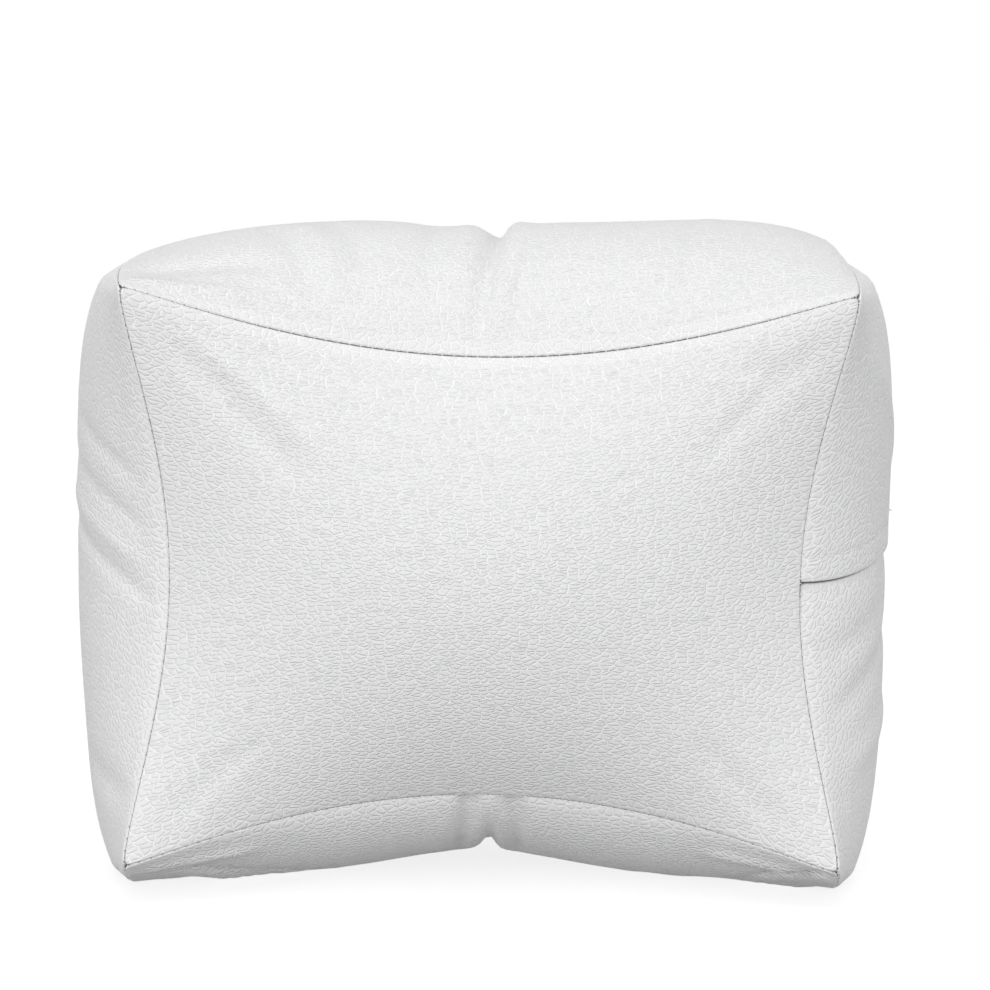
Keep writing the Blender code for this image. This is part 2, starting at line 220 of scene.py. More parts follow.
# %% [markdown]
# ## A cube cut into a grid
# Both the skin that is simulated and the finer skin that is kept start as a cube whose edges are
# subdivided, one direction at a time. Every point then still knows its row in each direction, which
# is what lets the coarse result be carried over to the fine mesh.

# %% Grid cube
ON_SIDE = 0.9999


def grid_cube(counts):
    """A bmesh cube from -1 to 1, cut into counts cells along X, Y and Z."""
    made = bmesh.new()
    bmesh.ops.create_cube(made, size=2.0)
    for axis in range(3):
        along = [
            edge for edge in made.edges
            if abs((edge.verts[0].co - edge.verts[1].co).normalized()[axis]) > 0.99
        ]
        bmesh.ops.subdivide_edges(made, edges=along, cuts=counts[axis] - 1, use_grid_fill=True)
    return made


def object_from(made, name):
    """A new object in the scene with a bmesh's faces. The bmesh is freed."""
    mesh = bpy.data.meshes.new(name)
    made.to_mesh(mesh)
    made.free()
    thing = bpy.data.objects.new(name, mesh)
    scene.collection.objects.link(thing)
    return thing


def smooth_outward(made):
    """Turn the faces of a closed bmesh outward and shade them smooth."""
    bmesh.ops.recalc_face_normals(made, faces=made.faces)
    for face in made.faces:
        face.smooth = True


def coordinates(mesh):
    """A mesh's points as an array."""
    flat = np.empty(len(mesh.vertices) * 3)
    mesh.vertices.foreach_get("co", flat)
    return flat.reshape(-1, 3)


def rows_of(cube_points, counts):
    """Whole row numbers of the points of a grid cube."""
    return np.rint((cube_points + 1.0) / 2.0 * np.array(counts)).astype(int)


trial = grid_cube((4, 3, 2))
print("a 4 x 3 x 2 grid cube has", len(trial.verts), "points and", len(trial.faces), "faces")
trial.free()

# %% [markdown]
# ## Stuffing the cover
# Real panels are cut slightly larger than the space between their sewn edges, so the spare leatherette
# buckles into soft folds when the fibre pushes it out. The simulation does the same: seam points are
# pinned, the bands grow by about two per cent and the large faces by less, and air pressure stands in
# for the fibre. The strip by the zip is pinned too, because the zip tapes hold it. Gravity stays off,
# and afterwards the underside is pressed flat on the table.

# %% Simulate the skin
CELLS = (52, 26, 42)
FACE_GROWTH = 0.35
BAND_GROWTH = 1.0
STUFFING_FRAMES = 14
ZIP_STRIP = 0.13
LEATHERETTE_CLOTH = {
    "quality": 8,
    "mass": 0.02,
    "tension_stiffness": 80.0,
    "compression_stiffness": 16.0,
    "shear_stiffness": 8.0,
    "bending_stiffness": 4.0,
    "air_damping": 5.0,
    "use_pressure": True,
    "uniform_pressure_force": 22.0,
    "vertex_group_mass": "pins",
    "pin_stiffness": 50.0,
    "vertex_group_shrink": "growth",
    "shrink_min": 0.0,
    "shrink_max": -0.02,
}


def stuff_cover():
    """Positions of the coarse skin after stuffing, with the cube values they belong to."""
    cage = object_from(grid_cube(CELLS), "stuffing_cage")
    mesh = cage.data
    cube = coordinates(mesh)
    start = form(cube[:, 0], cube[:, 1], cube[:, 2])
    mesh.vertices.foreach_set("co", start.ravel())
    on_seam = (np.abs(cube) > ON_SIDE).sum(axis=1) >= 2
    by_zip = (cube[:, 0] > ON_SIDE) & (np.abs(cube[:, 2]) < ZIP_STRIP)
    pins = cage.vertex_groups.new(name="pins")
    pins.add([int(k) for k in np.flatnonzero(on_seam | by_zip)], 1.0, "ADD")
    growth = cage.vertex_groups.new(name="growth")
    on_face = (np.abs(cube[:, 1]) > ON_SIDE) & ~on_seam
    growth.add([int(k) for k in np.flatnonzero(on_face)], FACE_GROWTH, "ADD")
    growth.add([int(k) for k in np.flatnonzero(~on_face)], BAND_GROWTH, "ADD")
    cloth = cage.modifiers.new("Stuffing", "CLOTH")
    for name, value in LEATHERETTE_CLOTH.items():
        setattr(cloth.settings, name, value)
    cloth.settings.effector_weights.gravity = 0.0
    cloth.collision_settings.use_collision = False
    cloth.point_cache.frame_start = 1
    cloth.point_cache.frame_end = STUFFING_FRAMES
    for number in range(1, STUFFING_FRAMES + 1):
        scene.frame_set(number)
    seen = cage.evaluated_get(bpy.context.evaluated_depsgraph_get())
    stuffed = coordinates(seen.data)
    bpy.data.objects.remove(cage)
    bpy.data.meshes.remove(mesh)
    scene.frame_set(1)
    stuffed[:, 2] = np.maximum(stuffed[:, 2], 0.0)
    print("stuffing moved the skin by up to", round(np.abs(stuffed - start).max() / MM, 1), "mm")
    return cube, stuffed


coarse_cube, coarse_skin = stuff_cover()

# %% [markdown]
# ## Rows of the fine skin
# A sewn edge turns in over about a millimetre, so the fine skin needs close rows beside the seams and
# wide ones elsewhere. Each list below gives cube values from seam to seam. The zip's lap needs close
# rows too, and on the right side those rows fold back on themselves: that list gives heights, and the
# other how deep the skin lies there.

# %% Runs of rows
NEAR_SEAM = np.array([0.25, 0.55, 0.9, 1.35, 2.0, 3.0, 4.3]) * MM
CELL = 1.75 * MM
LAP_CLEARANCE = 0.008


def seam_to_seam(half_length, keep_clear=()):
    """Cube values from seam to seam, close together beside the seams."""
    near = NEAR_SEAM / half_length
    middle = 1.0 - near[-1]
    count = int(round(2 * middle * half_length / CELL))
    inner = np.linspace(-middle, middle, count + 1)[1:-1]
    for low, high in keep_clear:
        inner = inner[(inner < low) | (inner > high)]
    left = np.concatenate([[-1.0], -1.0 + near])
    return np.concatenate([left, inner, -left[::-1]])


# height above the slit and depth under the skin, from the lower panel into the slit and out again
LAP_PATH = np.array([
    (-12.0, 0.0), (-10.0, 0.03), (-8.0, 0.1), (-6.2, 0.2), (-4.8, 0.33), (-3.6, 0.45), (-2.6, 0.55),
    (-1.8, 0.6), (-1.3, 0.62), (-0.95, 0.7), (-0.75, 0.9), (-0.68, 1.2), (-0.6, 1.5), (-0.3, 1.68),
    (0.2, 1.72), (0.7, 1.72), (1.0, 1.62), (0.95, 1.48), (0.7, 1.38), (0.35, 1.25), (0.12, 1.08),
    (0.02, 0.85), (0.06, 0.5), (0.2, 0.24), (0.45, 0.07), (0.8, 0.0), (1.6, -0.05), (2.8, -0.05),
    (4.2, -0.02), (5.6, 0.0), (6.7, 0.03), (7.3, 0.08), (7.7, 0.16), (8.0, 0.2), (8.3, 0.16),
    (8.7, 0.08), (9.4, 0.03), (10.8, 0.0),
]) * MM
LAP_LOW = LAP_PATH[0, 0] / HALF_H
LAP_HIGH = LAP_PATH[-1, 0] / HALF_H
run_x = seam_to_seam(HALF_W)
run_y = seam_to_seam(HALF_D)
plain_z = seam_to_seam(HALF_H, keep_clear=[(LAP_LOW - LAP_CLEARANCE, LAP_HIGH + LAP_CLEARANCE)])
lap_straight = np.linspace(LAP_LOW, LAP_HIGH, len(LAP_PATH))
run_z = np.sort(np.concatenate([plain_z, lap_straight]))
lap_rows = np.searchsorted(run_z, lap_straight)
fold_z = run_z.copy()
fold_z[lap_rows] = LAP_PATH[:, 0] / HALF_H
fold_depth = np.zeros(len(run_z))
fold_depth[lap_rows] = LAP_PATH[:, 1]
FINE = (len(run_x) - 1, len(run_y) - 1, len(run_z) - 1)
print("fine skin cells:", FINE, "quads:", 2 * (FINE[0] * FINE[1] + FINE[1] * FINE[2] + FINE[0] * FINE[2]))

# %% [markdown]
# ## From the coarse skin to the fine one
# On each of the six panels the coarse skin is a rectangular table of points. A smooth curve through
# neighbouring points (the Catmull-Rom rule) gives the points between them, first along one direction
# and then along the other, so the fine skin has no facets.

# %% Interpolation over a panel
PANELS = {
    "left": (0, -1), "right": (0, 1), "front": (1, -1), "back": (1, 1), "bottom": (2, -1), "top": (2, 1),
}


def directions(panel):
    """The two directions that a panel's table runs along."""
    return [k for k in range(3) if k != PANELS[panel][0]]


def weights(values, count):
    """Rows of weights that read a smooth curve over count + 1 even points at the given values."""
    spot = (values + 1.0) / 2.0 * count
    base = np.clip(np.floor(spot).astype(int), 0, count - 1)
    t = spot - base
    table = np.zeros((len(values), count + 1))
    parts = (
        (-1, -0.5 * t + t ** 2 - 0.5 * t ** 3),
        (0, 1.0 - 2.5 * t ** 2 + 1.5 * t ** 3),
        (1, 0.5 * t + 2.0 * t ** 2 - 1.5 * t ** 3),
        (2, -0.5 * t ** 2 + 0.5 * t ** 3),
    )
    row = np.arange(len(values))
    for step, share in parts:
        at = base + step
        before = at < 0
        after = at > count
        inside = ~before & ~after
        np.add.at(table, (row[inside], at[inside]), share[inside])
        # past an end, the curve runs on straight
        np.add.at(table, (row[before], 0), 2.0 * share[before])
        np.add.at(table, (row[before], 1), -share[before])
        np.add.at(table, (row[after], count), 2.0 * share[after])
        np.add.at(table, (row[after], count - 1), -share[after])
    return table


def coarse_table(panel):
    """The coarse skin's points over one panel, as a table along its two directions."""
    axis, side = PANELS[panel]
    u, v = directions(panel)
    on_panel = coarse_cube[:, axis] * side > ON_SIDE
    rows = rows_of(coarse_cube[on_panel], CELLS)
    table = np.empty((CELLS[u] + 1, CELLS[v] + 1, 3))
    table[rows[:, u], rows[:, v]] = coarse_skin[on_panel]
    return table


def fine_table(panel, values_u, values_v):
    """Points of the fine skin over one panel."""
    u, v = directions(panel)
    across = weights(values_u, CELLS[u])
    along = weights(values_v, CELLS[v])
    return np.einsum("ip,pqk,jq->ijk", across, coarse_table(panel), along)


RUNS = (run_x, run_y, run_z)
tables = {}
for panel in PANELS:
    u, v = directions(panel)
    tables[panel] = fine_table(panel, RUNS[u], RUNS[v])
print("panel tables:", {panel: table.shape[:2] for panel, table in tables.items()})

# %% [markdown]
# ## Normals and shared seams
# Each panel knows which way is out at every point. A seam belongs to two panels, and the angle
# between their two directions says how sharply the cover turns there: hardly at all in the middle of
# a seam, and by a right angle at the tips.

# %% Normals of the panels
NEIGHBOUR = {place: name for name, place in PANELS.items()}


def unit(vectors):
    """The same vectors with length 1."""
    return vectors / np.maximum(np.linalg.norm(vectors, axis=-1, keepdims=True), 1e-12)


def outward(panel, table):
    """Outward normals over a panel's table."""
    normal = unit(np.cross(np.gradient(table, axis=0), np.gradient(table, axis=1)))
    axis, side = PANELS[panel]
    middle = normal[normal.shape[0] // 2, normal.shape[1] // 2]
    return normal * np.sign(middle[axis] * side)


def rows_from(field, panel, axis, side, count):
    """The first count rows of a field over a panel, counted from its seam on that axis and side."""
    turned = field if directions(panel)[0] == axis else np.swapaxes(field, 0, 1)
    turned = turned if side < 0 else turned[::-1]
    return turned[:count]


normals = {panel: outward(panel, table) for panel, table in tables.items()}
print("the top's mean way out:", np.round(normals["top"].mean(axis=(0, 1)), 2).tolist())

# %% [markdown]
# ## Sunken seams
# The panels are sewn face to face and turned, so each edge rolls into the seam over a small lip and
# the thread sits at the bottom. The rows beside a seam are laid round that lip: p is how far a row
# lies from the seam along its panel, and q is how deep. A hair's breadth stays open between two lips.
# The upright seams are almost shut in the middle and open towards the tips, and at the tips, where
# three seams meet, there is a small hole.

# %% Sink the seams
LIP_RADIUS = 0.45 * MM
SEAM_GAP = 0.15 * MM
UPRIGHT_GAPS = (0.04 * MM, 0.24 * MM)
GAP_POWER = 1.5
TIP_GAP = 0.65 * MM
TIP_HOLE = 2.4 * MM
SEAM_SLIT = 1.2 * MM
SHOULDER_SINK = 0.12 * MM
SHOULDER_WIDTH = 2.5 * MM
MOST_TURN = (-1.2, 2.0)
LIP_ROWS = 5
AFTER_LIP = 0.4
SEAM_ROWS = len(NEAR_SEAM) + 1
KNOWN_ROWS = (0, 5, 7)
KNOWN_DISTANCES = np.array([0.0, NEAR_SEAM[4], NEAR_SEAM[6]])


def along_panel(p, seam, middle, far):
    """Points at distance p from a seam, on the curve through three known rows."""
    n0, n1, n2 = KNOWN_DISTANCES
    share0 = (p - n1) * (p - n2) / ((n0 - n1) * (n0 - n2))
    share1 = (p - n0) * (p - n2) / ((n1 - n0) * (n1 - n2))
    share2 = (p - n0) * (p - n1) / ((n2 - n0) * (n2 - n1))
    return share0[:, None] * seam + share1[:, None] * middle + share2[:, None] * far


def seam_shift(panel, axis, side):
    """How far the rows beside one seam of a panel move to lie round its lip."""
    rows = rows_from(tables[panel], panel, axis, side, SEAM_ROWS)
    own = rows_from(normals[panel], panel, axis, side, 1)[0]
    other_panel = NEIGHBOUR[(axis, side)]
    home_axis, home_side = PANELS[panel]
    other = rows_from(normals[other_panel], other_panel, home_axis, home_side, 1)[0]
    beyond = rows_from(tables[other_panel], other_panel, home_axis, home_side, SEAM_ROWS)[-1] - rows[0]
    turn = np.arccos(np.clip((own * other).sum(axis=1), -1.0, 1.0))
    turn *= np.where((beyond * own).sum(axis=1) > 0.0, -1.0, 1.0)
    half_turn = np.clip(turn, *MOST_TURN) / 2.0
    along = [k for k in range(3) if k not in (axis, home_axis)][0]
    from_tip = (1.0 - np.abs(RUNS[along])) * HALVES[along]
    narrow, wide = UPRIGHT_GAPS if along == 2 else (SEAM_GAP, SEAM_GAP)
    gap = narrow + (wide - narrow) * np.abs(RUNS[along]) ** GAP_POWER
    gap += (TIP_GAP - wide) * bump_at(from_tip, 0.0, TIP_HOLE)
    lip_start = (LIP_RADIUS * (1.0 + np.sin(half_turn)) + gap) / np.cos(half_turn)
    shift = np.zeros_like(rows)
    for row in range(SEAM_ROWS):
        if row <= LIP_ROWS:
            angle = (math.pi / 2 + half_turn) * (LIP_ROWS - max(row, 1)) / (LIP_ROWS - 1)
            p = lip_start - LIP_RADIUS * np.sin(angle)
            q = LIP_RADIUS * (1.0 - np.cos(angle))
        else:
            p = lip_start + (NEAR_SEAM[-1] - lip_start) * (AFTER_LIP if row == LIP_ROWS + 1 else 1.0)
            q = np.zeros_like(lip_start)
        if row == 0:
            p = p + SEAM_SLIT * np.sin(half_turn) - gap * np.cos(half_turn)
            q = q + SEAM_SLIT * np.cos(half_turn) + gap * np.sin(half_turn)
        q = q + SHOULDER_SINK * np.exp(-p / SHOULDER_WIDTH)
        place = along_panel(p, *[rows[k] for k in KNOWN_ROWS])
        shift[row] = place - q[:, None] * own - rows[row]
    return shift


shifts = {panel: np.zeros_like(table) for panel, table in tables.items()}
for panel in PANELS:
    for axis in directions(panel):
        for side in (-1, 1):
            rows_from(shifts[panel], panel, axis, side, SEAM_ROWS)[...] += seam_shift(panel, axis, side)
print("deepest seam shift in mm:", round(max(np.abs(s).max() for s in shifts.values()) / MM, 2))

# %% [markdown]
# ## Folds and dents
# The photograph shows single folds that no simulation would put in just the same place: a sharp
# crease over the top middle, a pinch under the bottom middle, soft wrinkles that run into the tips and
# slanting ones on the side bands.
# Each one is a low ridge, or a valley where its height is below zero, drawn along a slightly bowed
# line over its panel. Line ends are cube values, and widths and heights are in millimetres.

# %% Press in the folds
FOLD_FADE = 4 * MM
# how high a fold starts, and the share of its length over which it rises
FOLD_START = 0.3
FOLD_RUN = 0.35
FOLDS = {
    "top": [
        # from u, from v, to u, to v, bow, width, height
        (0.045, 0.25, -0.035, -0.95, 0.0, 2.4, -2.2),
        (0.100, 0.15, 0.010, -0.90, 0.0, 4.0, 1.6),
        (0.125, -0.25, 0.065, -0.95, 0.0, 2.2, -1.2),
        (-0.030, 0.10, -0.110, -0.70, 0.0, 5.0, 1.2),
        (-0.160, 0.10, -0.150, -0.80, 0.0, 5.0, -0.8),
        (-0.980, -0.90, -0.600, -0.82, 1.0, 2.4, 1.8),
        (-0.960, -0.70, -0.560, -0.56, 1.0, 4.5, -1.6),
        (-0.620, -0.10, -0.480, -0.80, 2.0, 4.0, -1.1),
        (-0.540, -0.10, -0.400, -0.75, 2.0, 4.0, 1.0),
        (-0.470, 0.00, -0.330, -0.60, 2.0, 4.0, -0.9),
        (0.560, -0.10, 0.480, -0.80, -2.0, 4.0, -1.0),
        (0.640, 0.00, 0.540, -0.70, -2.0, 4.0, 0.9),
        (0.720, -0.20, 0.620, -0.80, -1.0, 4.0, -0.8),
    ],
    "bottom": [
        (0.024, 0.95, 0.024, -0.75, 0.0, 2.2, -3.4),
        (0.110, -0.25, 0.080, -1.10, 0.0, 3.0, -2.8),
        (-0.065, -0.25, -0.035, -1.10, 0.0, 3.0, -2.8),
        (-0.980, -0.86, -0.620, -0.80, 0.0, 2.2, 1.2),
        (0.985, -0.86, 0.620, -0.80, 0.0, 2.2, 1.4),
        (-0.880, -0.80, -0.480, -0.35, 3.0, 2.2, -2.2),
        (-0.820, -0.55, -0.420, -0.15, 3.0, 3.0, 1.4),
        (0.985, -0.95, 0.740, -0.50, 2.0, 2.2, -2.6),
        (0.940, -0.50, 0.720, -0.25, 2.0, 3.0, 1.4),
    ],
    "front": [
        (-0.900, 0.85, -0.560, 0.40, 3.0, 6.0, -1.0),
        (-0.820, 0.88, -0.480, 0.52, 3.0, 5.0, 0.8),
        (0.920, 0.85, 0.640, 0.50, -2.0, 5.0, -0.9),
        (0.820, 0.78, 0.700, 0.86, 1.0, 5.0, -0.8),
        (0.860, -0.90, 0.640, -0.60, 2.0, 5.0, -0.8),
        (-0.880, -0.90, -0.660, -0.62, 2.0, 5.0, -0.8),
    ],
    "left": [
        (-0.920, -0.10, -0.050, 0.14, 2.0, 3.0, -1.1),
        (-0.880, 0.02, 0.000, 0.25, 2.0, 3.0, 0.8),
        (-0.880, 0.15, -0.050, 0.36, 2.0, 3.0, -1.0),
        (-0.860, 0.32, -0.250, 0.50, 1.0, 3.0, -0.9),
        (-0.900, -0.75, -0.300, -0.60, 1.0, 4.0, -1.1),
    ],
    "right": [
        (-0.850, -0.45, 0.100, -0.15, 2.0, 3.5, -1.1),
        (-0.800, -0.62, 0.200, -0.40, 2.0, 4.0, 1.0),
        (-0.900, -0.25, -0.100, -0.12, 1.0, 4.0, -0.9),
        (-0.700, 0.75, 0.000, 0.30, 2.0, 4.0, 0.8),
    ],
    "back": [
        (-0.900, 0.85, -0.560, 0.45, 3.0, 6.0, -0.9),
        (0.900, -0.85, 0.600, -0.50, 3.0, 6.0, -0.9),
    ],
}


def fold_height(panel, fold):
    """Height of one fold over a panel's table."""
    u, v = directions(panel)
    across, along = np.meshgrid(RUNS[u] * HALVES[u], RUNS[v] * HALVES[v], indexing="ij")
    start = np.array([fold[0] * HALVES[u], fold[1] * HALVES[v]])
    end = np.array([fold[2] * HALVES[u], fold[3] * HALVES[v]])
    length = np.linalg.norm(end - start)
    way = (end - start) / length
    bow, width, height = [value * MM for value in fold[4:]]
    t = ((across - start[0]) * way[0] + (along - start[1]) * way[1]) / length
    aside = (across - start[0]) * -way[1] + (along - start[1]) * way[0]
    aside -= bow * 4.0 * t * (1.0 - t)
    fade = ease(np.minimum(t, 1.0 - t) / FOLD_RUN + FOLD_START)
    return height * fade * bump_at(aside, 0.0, width)


for panel, folds in FOLDS.items():
    u, v = directions(panel)
    height = sum(fold_height(panel, fold) for fold in folds)
    near_seam = np.minimum(
        (1.0 - np.abs(RUNS[u]))[:, None] * HALVES[u], (1.0 - np.abs(RUNS[v]))[None, :] * HALVES[v],
    )
    height *= np.clip(near_seam / FOLD_FADE, 0.0, 1.0)
    shifts[panel] += height[..., None] * normals[panel]
print("folds pressed in:", sum(len(folds) for folds in FOLDS.values()))

# %% [markdown]
# ## The lap over the zip
# The right side is in two pieces. The upper one is turned back under itself and laps over the lower
# one, which dips to pass beneath. Their rows follow the lap's path from below: down into the gap, up
# into a shallow pocket under the flap, and back out round the flap's folded edge. In the middle of its
# run the lap rises a little, and it closes again just before both seams.

# %% Lap the right side
LAP_FADE = (0.6 * MM, 2.4 * MM)
LAP_RISE = 6.5 * MM
VALLEY_DEPTH = 0.9 * MM
VALLEY_BELOW = 6 * MM
VALLEY_WIDTH = 4 * MM
RISE_FROM = (-26 * MM, -4 * MM)
RISE_TO = (12 * MM, 38 * MM)

from_seam = (1.0 - np.abs(run_y)) * HALF_D
lap_share = ease((from_seam - LAP_FADE[0]) / (LAP_FADE[1] - LAP_FADE[0]))
rise_share = dome(run_y, 3.0)
height = run_z * HALF_H
coming = ease((height - RISE_FROM[0]) / (RISE_FROM[1] - RISE_FROM[0]))
going = ease((RISE_TO[1] - height) / (RISE_TO[1] - RISE_TO[0]))
near_lap = coming * going
level = fine_table("right", run_y, fold_z)
raised = fine_table("right", run_y, fold_z + LAP_RISE * near_lap / HALF_H)
lapped = level + rise_share[:, None, None] * (raised - level)
depth = fold_depth + VALLEY_DEPTH * bump_at(height, -VALLEY_BELOW, VALLEY_WIDTH)
lap_shift = lapped - tables["right"] - depth[None, :, None] * normals["right"]
shifts["right"] += lap_share[:, None, None] * lap_shift
print("lap gap closes", LAP_FADE[0] / MM, "mm before each seam")

# %% [markdown]
# ## The finished skin
# A fine grid cube takes the positions of the six tables. Points on a seam belong to two tables and
# tips to three, so they take the mean. Each panel also gets a flat map in metres, as it was cut from
# the roll, so that the grain keeps its size and each panel has its own grain direction. A second map
# holds the way along the nearest seam and the distance from it, for the painted shade of the needle
# holes and of the seam slits. That distance is below zero where no needle goes: on the front and
# back, and in the lap.

# %% Make the cover
# each panel's grain direction in degrees, and how tightly its pebbles sit
GRAIN = {
    "front": (4.0, 1.0), "back": (-8.0, 1.0), "left": (62.0, 1.1), "right": (48.0, 1.0),
    "top": (3.0, 1.2), "bottom": (-5.0, 1.05),
}
PANEL_SPACING = 0.35
# the points of the lap's path between which it is out of sight
HIDDEN_POINTS = [12, 20]
hidden_rows = lap_rows[HIDDEN_POINTS]
lap_length = np.concatenate([[0.0], np.cumsum(np.hypot(np.diff(fold_z * HALF_H), np.diff(fold_depth)))])


def make_cover():
    """The closed skin of the cushion, with its two maps."""
    cover = object_from(grid_cube(FINE), "cushion_cover")
    mesh = cover.data
    cube = coordinates(mesh)
    rows = rows_of(cube, FINE)
    total = np.zeros_like(cube)
    count = np.zeros(len(cube))
    for panel, (axis, side) in PANELS.items():
        u, v = directions(panel)
        here = cube[:, axis] * side > ON_SIDE
        total[here] += (tables[panel] + shifts[panel])[rows[here, u], rows[here, v]]
        count[here] += 1
    skin = total / count[:, None]
    skin[:, 2] = np.maximum(skin[:, 2], 0.0)
    mesh.vertices.foreach_set("co", skin.ravel())
    corners = np.empty(len(mesh.loops), dtype=int)
    mesh.loops.foreach_get("vertex_index", corners)
    corners = corners.reshape(-1, 4)
    grain = np.zeros((len(corners), 4, 2))
    seam = np.zeros((len(corners), 4, 2))
    for number, (panel, (axis, side)) in enumerate(PANELS.items()):
        u, v = directions(panel)
        faces = (cube[corners, axis] * side > ON_SIDE).all(axis=1)
        flat_u = RUNS[u][rows[corners[faces], u]] * HALVES[u]
        flat_v = RUNS[v][rows[corners[faces], v]] * HALVES[v]
        edge_u = HALVES[u] - np.abs(flat_u)
        edge_v = HALVES[v] - np.abs(flat_v)
        beside_u = (edge_u.mean(axis=1) < edge_v.mean(axis=1))[:, None]
        seam[faces, :, 0] = np.where(beside_u, flat_v, flat_u)
        seam[faces, :, 1] = np.where(beside_u, edge_u, edge_v) * (-1.0 if axis == 1 else 1.0)
        if panel == "right":
            flat_v = lap_length[rows[corners[faces], v]]
            hidden = lap_length[hidden_rows]
            from_fold = np.maximum(hidden[0] - flat_v, flat_v - hidden[1]).clip(0.0)
            nearer = (from_fold.mean(axis=1) < seam[faces, :, 1].mean(axis=1))[:, None]
            seam[faces, :, 1] = np.where(nearer, -from_fold, seam[faces, :, 1])
        degrees, tightness = GRAIN[panel]
        turn = math.radians(degrees)
        flat_u = flat_u * tightness
        flat_v = flat_v * tightness
        grain[faces, :, 0] = flat_u * math.cos(turn) + flat_v * math.sin(turn) + number * PANEL_SPACING
        grain[faces, :, 1] = -flat_u * math.sin(turn) + flat_v * math.cos(turn)
    mesh.uv_layers.new(name="grain").data.foreach_set("uv", grain.ravel())
    mesh.uv_layers.new(name="seam").data.foreach_set("uv", seam.ravel())
    shaded = bmesh.new()
    shaded.from_mesh(mesh)
    smooth_outward(shaded)
    shaded.to_mesh(mesh)
    shaded.free()
    return cover


cover = make_cover()
print("cover triangles:", 2 * len(cover.data.polygons))

# %% [markdown]
# ## Stitches
# The thread shows only where a stitch crosses the slit between two panels, as a short pale bar every
# few millimetres. Each bar is a small capsule laid over the slit. The topstitch above the lap lies on
# the skin instead, in line with its row. The stitches are a few faces each, because there are hundreds.

# %% Lay the stitches
STITCH_PITCH = 3.8 * MM
STITCH_RADIUS = 0.2 * MM
SEAM_STITCH = 1.2 * MM
SEAM_STITCH_RISE = 1.5 * MM
SEAM_STITCH_SLANT = 0.35
SEAM_STITCH_SPARE = 4 * MM
TOPSTITCH = 2.7 * MM
TOPSTITCH_RISE = 0.05 * MM
TOPSTITCH_SPARE = 8 * MM
TOPSTITCH_HEIGHT = 8 * MM
THREAD_END = 1.8 * MM
THREAD_END_HEIGHT = 11 * MM
THREAD_END_PLACE = -0.1


def capsule(made, spot, way, length, radius):
    """Add one stitch to a bmesh: a small ball drawn out along its way."""
    turn = way.to_track_quat("Z", "Y").to_matrix().to_4x4()
    size = Matrix.Diagonal((1.0, 1.0, length / (2.0 * radius), 1.0))
    bmesh.ops.create_uvsphere(
        made, u_segments=6, v_segments=5, radius=radius, matrix=Matrix.Translation(spot) @ turn @ size,
    )


def stitch_object(name, spots):
    """One object of stitches from (place, way, length) entries."""
    made = bmesh.new()
    for spot, way, length in spots:
        capsule(made, Vector(spot), Vector(way), length, STITCH_RADIUS)
    smooth_outward(made)
    return object_from(made, name)


def spread_along(line, spare):
    """Distances along a line of points, and places for stitches that leave its ends free."""
    steps = np.concatenate([[0.0], np.cumsum(np.linalg.norm(np.diff(line, axis=0), axis=1))])
    count = int((steps[-1] - spare) / STITCH_PITCH)
    places = (steps[-1] - count * STITCH_PITCH) / 2 + STITCH_PITCH * np.arange(count + 1)
    return steps, places


def read_at(places, steps, vectors):
    """The vectors at some places along a line, read between its points."""
    return np.stack([np.interp(places, steps, vectors[:, k]) for k in range(3)], axis=1)


def seam_stitches(panel, axis, side):
    """Entries for the stitches along one seam of a panel."""
    line = rows_from(tables[panel] + shifts[panel], panel, axis, side, 1)[0]
    home_axis, home_side = PANELS[panel]
    other = NEIGHBOUR[(axis, side)]
    own_out = rows_from(normals[panel], panel, axis, side, 1)[0]
    other_out = rows_from(normals[other], other, home_axis, home_side, 1)[0]
    twin = rows_from(tables[other] + shifts[other], other, home_axis, home_side, 1)[0]
    line = (line + twin) / 2.0
    rise = unit(own_out + other_out)
    way = unit(np.gradient(line, axis=0))
    over = np.cross(rise, way)
    steps, places = spread_along(line, SEAM_STITCH_SPARE)
    spots = read_at(places, steps, line + rise * SEAM_STITCH_RISE)
    ways = read_at(places, steps, over + way * SEAM_STITCH_SLANT)
    return [(spot, slant, SEAM_STITCH) for spot, slant in zip(spots, ways)]


def face_loop(panel):
    """Entries for the stitches round the front or back panel."""
    seams = [(axis, side) for axis in directions(panel) for side in (-1, 1)]
    return [entry for axis, side in seams for entry in seam_stitches(panel, axis, side)]


def topstitch_row():
    """Entries for the stitches above the lapped edge, pressed into the skin."""
    row = int(lap_rows[int(np.argmin(np.abs(LAP_PATH[:, 0] - TOPSTITCH_HEIGHT)))])
    line = (tables["right"] + shifts["right"])[:, row]
    out = normals["right"][:, row]
    steps, places = spread_along(line, TOPSTITCH_SPARE)
    spots = read_at(places, steps, line + out * TOPSTITCH_RISE)
    ways = read_at(places, steps, unit(np.gradient(line, axis=0)))
    return [(spot, along, TOPSTITCH) for spot, along in zip(spots, ways)]


def thread_end():
    """The short loose end that sticks out above the lap."""
    row = int(np.argmin(np.abs(run_z * HALF_H - THREAD_END_HEIGHT)))
    column = int(np.argmin(np.abs(run_y - THREAD_END_PLACE)))
    spot = (tables["right"] + shifts["right"])[column, row]
    way = unit(normals["right"][column, row] - np.array([0.0, 0.0, 0.5]))
    return spot + way * 0.5 * MM, way, THREAD_END


